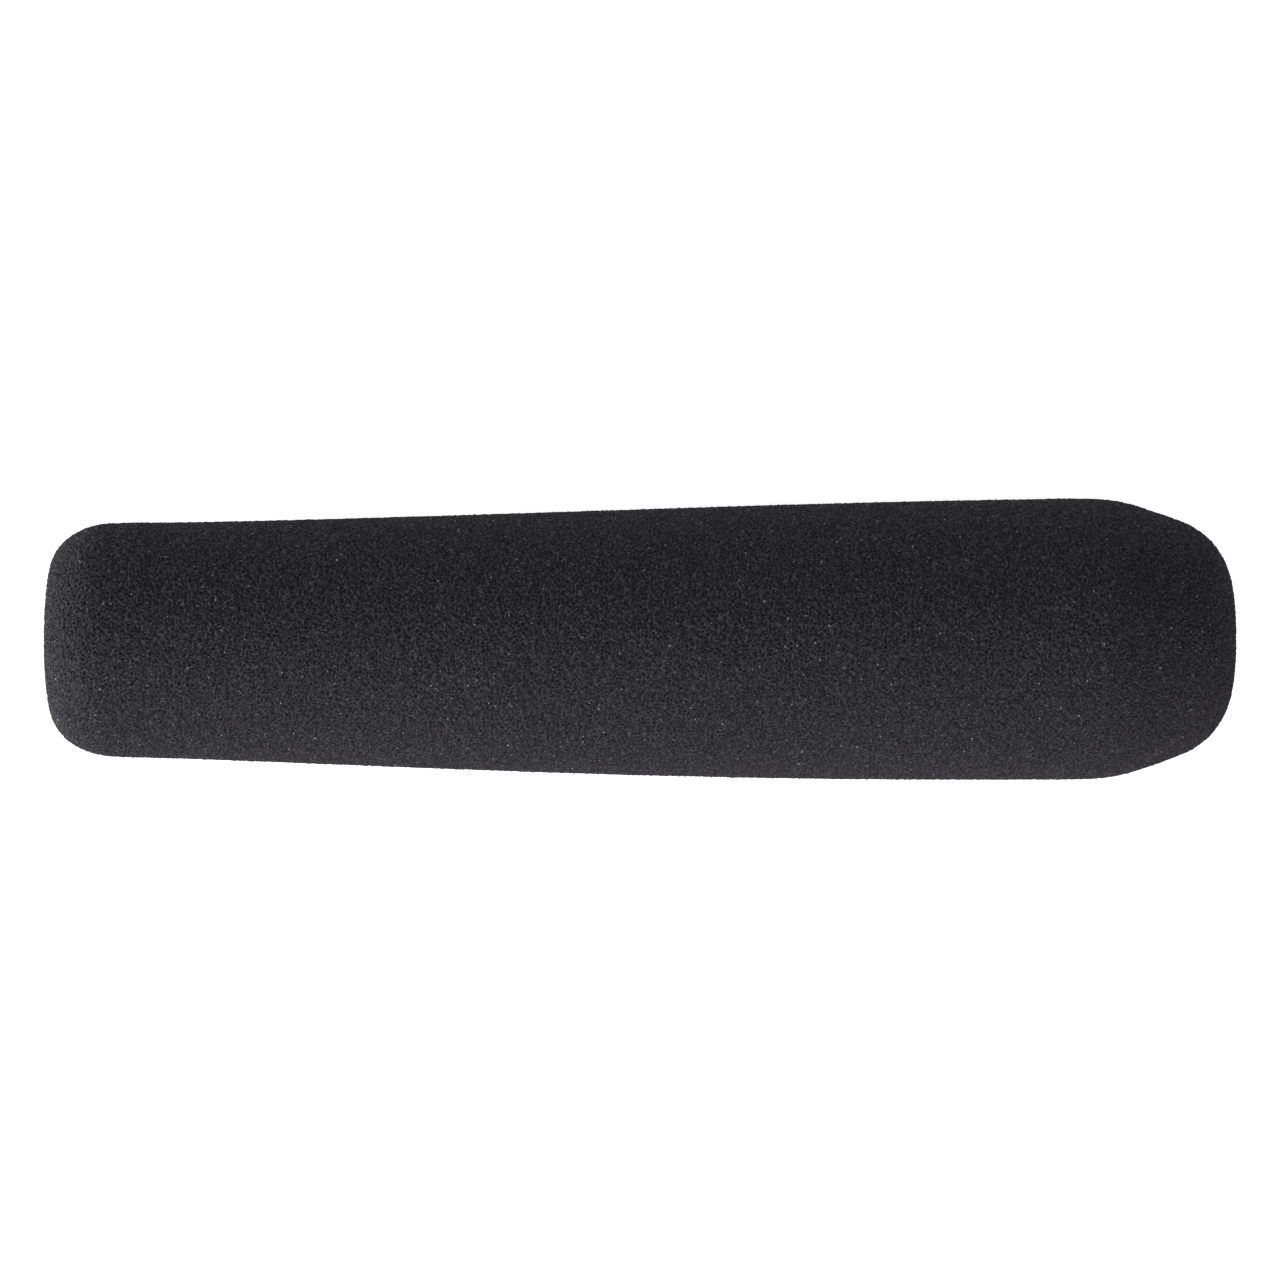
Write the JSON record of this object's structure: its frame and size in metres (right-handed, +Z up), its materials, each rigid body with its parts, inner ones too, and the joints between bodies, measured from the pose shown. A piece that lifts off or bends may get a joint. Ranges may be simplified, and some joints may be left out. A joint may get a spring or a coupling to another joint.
{
  "type": "foam windscreen",
  "caption": "Long flared slip-on foam windscreen for a shotgun microphone, with a bevelled nose, rounded mouth, recessed rubber grip collar and coarse foam liner.",
  "frame": {"origin": "on the axis, at the outer end of the collar's grip bore", "axes": "+X along the axis to the nose, so the mouth opens to -X; +Z up through the liner's butt seam; +Y follows"},
  "size_m": [0.202, 0.048, 0.048],
  "materials": {
    "fine_foam": "charcoal-black fine open-cell foam, matt, with small glints from cell walls",
    "coarse_foam": "dark grey coarse reticulated foam",
    "collar_rubber": "matt black moulded rubber",
    "hoop_plastic": "black moulded polypropylene",
    "adhesive": "translucent amber contact adhesive"
  },
  "bodies": {
    "root": {"foam_body": "fine_foam", "spacer_liner": "coarse_foam", "spacer_disc": "coarse_foam", "grip_collar": "collar_rubber", "collar_hoop": "hoop_plastic", "collar_bond": "adhesive", "liner_bond": "adhesive", "disc_bond": "adhesive"}
  },
  "joints": []
}
